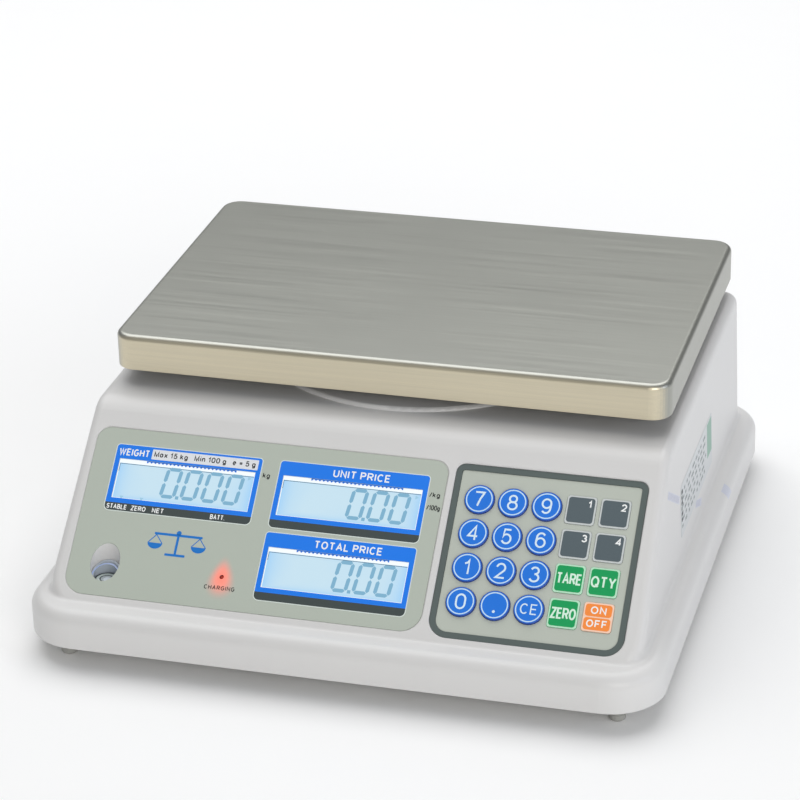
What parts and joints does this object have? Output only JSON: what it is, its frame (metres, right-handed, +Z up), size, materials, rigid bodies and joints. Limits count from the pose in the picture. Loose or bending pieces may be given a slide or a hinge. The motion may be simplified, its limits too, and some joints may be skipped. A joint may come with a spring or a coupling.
{
  "type": "retail price scale",
  "caption": "Low counter-top retail price scale: steel platter on a wedge housing, sloping panel with backlit weight and price displays and a keypad, customer display behind.",
  "frame": {"origin": "centre of the base outline, on the surface that the feet stand on", "axes": "+Z up, the operator's side faces -Y, +X is the operator's right"},
  "size_m": [0.3346, 0.328, 0.1356],
  "materials": {
    "housing": "fine satin moulding",
    "housing_base": "satin moulding",
    "film": "printed film, satin",
    "membrane": "printed membrane, satin",
    "bezel": "satin",
    "circuit_board": "solder resist",
    "dome_metal": "stamped",
    "display_glass": "backlit display",
    "lamp": "clear red",
    "level_cup": "smooth",
    "level_glass": "clear with liquid",
    "battery_case": "moulded",
    "zinc_steel": "zinc plated",
    "cell_aluminium": "machined",
    "cast_aluminium": "cast",
    "cushion_rubber": "matt",
    "platter_steel": "brushed along its length",
    "jack_plastic": "moulded",
    "cable_sheath": "sheath",
    "foot_rubber": "matt",
    "foot_plastic": "moulded",
    "key_blue": "printed cap, satin",
    "key_grey": "printed cap, satin",
    "key_green": "printed cap, satin",
    "key_orange": "printed cap, satin"
  },
  "bodies": {
    "housing": {"top_cover": "housing", "base_tray": "housing_base", "display_overlay": "film", "keypad_overlay": "membrane", "keypad_bezel": "bezel", "keypad_board": "circuit_board", "display_board": "circuit_board", "main_board": "circuit_board", "customer_board": "circuit_board", "snap_domes": "dome_metal", "weight_lcd": "display_glass", "unit_price_lcd": "display_glass", "total_price_lcd": "display_glass", "customer_lcds": "display_glass", "charge_led": "lamp", "level_cup": "level_cup", "level_vial": "level_glass", "battery": "battery_case", "battery_strap": "zinc_steel", "load_cell": "cell_aluminium", "load_cell_bracket": "cast_aluminium", "load_cell_bolts": "zinc_steel", "overload_stop": "zinc_steel", "housing_screws": "zinc_steel", "inner_screws": "zinc_steel", "dc_jack": "jack_plastic", "customer_overlay": "film", "load_cell_cable": "cable_sheath"},
    "pan_support": {"pan_spider": "cast_aluminium", "pan_cushions": "cushion_rubber", "spider_bolts": "zinc_steel"},
    "platter": {"platter": "platter_steel"},
    "key_7": {"key_7": "key_blue"},
    "key_8": {"key_8": "key_blue"},
    "key_9": {"key_9": "key_blue"},
    "key_memory_1": {"key_memory_1": "key_grey"},
    "key_memory_2": {"key_memory_2": "key_grey"},
    "key_4": {"key_4": "key_blue"},
    "key_5": {"key_5": "key_blue"},
    "key_6": {"key_6": "key_blue"},
    "key_memory_3": {"key_memory_3": "key_grey"},
    "key_memory_4": {"key_memory_4": "key_grey"},
    "key_1": {"key_1": "key_blue"},
    "key_2": {"key_2": "key_blue"},
    "key_3": {"key_3": "key_blue"},
    "key_tare": {"key_tare": "key_green"},
    "key_quantity": {"key_quantity": "key_green"},
    "key_0": {"key_0": "key_blue"},
    "key_point": {"key_point": "key_blue"},
    "key_ce": {"key_ce": "key_blue"},
    "key_zero": {"key_zero": "key_green"},
    "key_on_off": {"key_on_off": "key_orange"},
    "foot_pad_front_left": {"foot_pad_front_left": "foot_rubber"},
    "foot_stud_front_left": {"foot_stud_front_left": "foot_plastic"},
    "foot_pad_front_right": {"foot_pad_front_right": "foot_rubber"},
    "foot_stud_front_right": {"foot_stud_front_right": "foot_plastic"},
    "foot_pad_rear_left": {"foot_pad_rear_left": "foot_rubber"},
    "foot_stud_rear_left": {"foot_stud_rear_left": "foot_plastic"},
    "foot_pad_rear_right": {"foot_pad_rear_right": "foot_rubber"},
    "foot_stud_rear_right": {"foot_stud_rear_right": "foot_plastic"}
  },
  "joints": [
    {"name": "weighing_travel", "type": "slide", "parent": "housing", "child": "pan_support", "axis": [0, 0, -1], "range_m": [0, 0.0005], "stiffness_N_per_m": 300000, "springref_m": -0.00006, "deforming": ["load_cell"]},
    {"name": "platter_lift", "type": "slide", "parent": "pan_support", "child": "platter", "axis": [0, 0, 1], "range_m": [0, 0.15]},
    {"name": "press_7", "type": "slide", "parent": "housing", "child": "key_7", "axis": [0, 0.6713, -0.7412], "range_m": [0, 0.0004], "stiffness_N_per_m": 3000, "springref_m": -0.0001},
    {"name": "press_8", "type": "slide", "parent": "housing", "child": "key_8", "axis": [0, 0.6713, -0.7412], "range_m": [0, 0.0004], "stiffness_N_per_m": 3000, "springref_m": -0.0001},
    {"name": "press_9", "type": "slide", "parent": "housing", "child": "key_9", "axis": [0, 0.6713, -0.7412], "range_m": [0, 0.0004], "stiffness_N_per_m": 3000, "springref_m": -0.0001},
    {"name": "press_memory_1", "type": "slide", "parent": "housing", "child": "key_memory_1", "axis": [0, 0.6713, -0.7412], "range_m": [0, 0.0004], "stiffness_N_per_m": 3000, "springref_m": -0.0001},
    {"name": "press_memory_2", "type": "slide", "parent": "housing", "child": "key_memory_2", "axis": [0, 0.6713, -0.7412], "range_m": [0, 0.0004], "stiffness_N_per_m": 3000, "springref_m": -0.0001},
    {"name": "press_4", "type": "slide", "parent": "housing", "child": "key_4", "axis": [0, 0.6713, -0.7412], "range_m": [0, 0.0004], "stiffness_N_per_m": 3000, "springref_m": -0.0001},
    {"name": "press_5", "type": "slide", "parent": "housing", "child": "key_5", "axis": [0, 0.6713, -0.7412], "range_m": [0, 0.0004], "stiffness_N_per_m": 3000, "springref_m": -0.0001},
    {"name": "press_6", "type": "slide", "parent": "housing", "child": "key_6", "axis": [0, 0.6713, -0.7412], "range_m": [0, 0.0004], "stiffness_N_per_m": 3000, "springref_m": -0.0001},
    {"name": "press_memory_3", "type": "slide", "parent": "housing", "child": "key_memory_3", "axis": [0, 0.6713, -0.7412], "range_m": [0, 0.0004], "stiffness_N_per_m": 3000, "springref_m": -0.0001},
    {"name": "press_memory_4", "type": "slide", "parent": "housing", "child": "key_memory_4", "axis": [0, 0.6713, -0.7412], "range_m": [0, 0.0004], "stiffness_N_per_m": 3000, "springref_m": -0.0001},
    {"name": "press_1", "type": "slide", "parent": "housing", "child": "key_1", "axis": [0, 0.6713, -0.7412], "range_m": [0, 0.0004], "stiffness_N_per_m": 3000, "springref_m": -0.0001},
    {"name": "press_2", "type": "slide", "parent": "housing", "child": "key_2", "axis": [0, 0.6713, -0.7412], "range_m": [0, 0.0004], "stiffness_N_per_m": 3000, "springref_m": -0.0001},
    {"name": "press_3", "type": "slide", "parent": "housing", "child": "key_3", "axis": [0, 0.6713, -0.7412], "range_m": [0, 0.0004], "stiffness_N_per_m": 3000, "springref_m": -0.0001},
    {"name": "press_tare", "type": "slide", "parent": "housing", "child": "key_tare", "axis": [0, 0.6713, -0.7412], "range_m": [0, 0.0004], "stiffness_N_per_m": 3000, "springref_m": -0.0001},
    {"name": "press_quantity", "type": "slide", "parent": "housing", "child": "key_quantity", "axis": [0, 0.6713, -0.7412], "range_m": [0, 0.0004], "stiffness_N_per_m": 3000, "springref_m": -0.0001},
    {"name": "press_0", "type": "slide", "parent": "housing", "child": "key_0", "axis": [0, 0.6713, -0.7412], "range_m": [0, 0.0004], "stiffness_N_per_m": 3000, "springref_m": -0.0001},
    {"name": "press_point", "type": "slide", "parent": "housing", "child": "key_point", "axis": [0, 0.6713, -0.7412], "range_m": [0, 0.0004], "stiffness_N_per_m": 3000, "springref_m": -0.0001},
    {"name": "press_ce", "type": "slide", "parent": "housing", "child": "key_ce", "axis": [0, 0.6713, -0.7412], "range_m": [0, 0.0004], "stiffness_N_per_m": 3000, "springref_m": -0.0001},
    {"name": "press_zero", "type": "slide", "parent": "housing", "child": "key_zero", "axis": [0, 0.6713, -0.7412], "range_m": [0, 0.0004], "stiffness_N_per_m": 3000, "springref_m": -0.0001},
    {"name": "press_on_off", "type": "slide", "parent": "housing", "child": "key_on_off", "axis": [0, 0.6713, -0.7412], "range_m": [0, 0.0004], "stiffness_N_per_m": 3000, "springref_m": -0.0001},
    {"name": "foot_height_front_left", "type": "slide", "parent": "housing", "child": "foot_pad_front_left", "axis": [0, 0, -1], "range_m": [0, 0.006]},
    {"name": "foot_turn_front_left", "type": "hinge", "parent": "foot_pad_front_left", "child": "foot_stud_front_left", "pos_m": [-0.145, -0.148, 0.01], "axis": [0, 0, -1], "range_deg": [0, 2160]},
    {"name": "foot_height_front_right", "type": "slide", "parent": "housing", "child": "foot_pad_front_right", "axis": [0, 0, -1], "range_m": [0, 0.006]},
    {"name": "foot_turn_front_right", "type": "hinge", "parent": "foot_pad_front_right", "child": "foot_stud_front_right", "pos_m": [0.145, -0.148, 0.01], "axis": [0, 0, -1], "range_deg": [0, 2160]},
    {"name": "foot_height_rear_left", "type": "slide", "parent": "housing", "child": "foot_pad_rear_left", "axis": [0, 0, -1], "range_m": [0, 0.006]},
    {"name": "foot_turn_rear_left", "type": "hinge", "parent": "foot_pad_rear_left", "child": "foot_stud_rear_left", "pos_m": [-0.145, 0.148, 0.01], "axis": [0, 0, -1], "range_deg": [0, 2160]},
    {"name": "foot_height_rear_right", "type": "slide", "parent": "housing", "child": "foot_pad_rear_right", "axis": [0, 0, -1], "range_m": [0, 0.006]},
    {"name": "foot_turn_rear_right", "type": "hinge", "parent": "foot_pad_rear_right", "child": "foot_stud_rear_right", "pos_m": [0.145, 0.148, 0.01], "axis": [0, 0, -1], "range_deg": [0, 2160]}
  ],
  "couplings": [
    {"joint": "foot_turn_front_left", "follows": "foot_height_front_left", "rad_per_m": 6283.2},
    {"joint": "foot_turn_front_right", "follows": "foot_height_front_right", "rad_per_m": 6283.2},
    {"joint": "foot_turn_rear_left", "follows": "foot_height_rear_left", "rad_per_m": 6283.2},
    {"joint": "foot_turn_rear_right", "follows": "foot_height_rear_right", "rad_per_m": 6283.2}
  ]
}
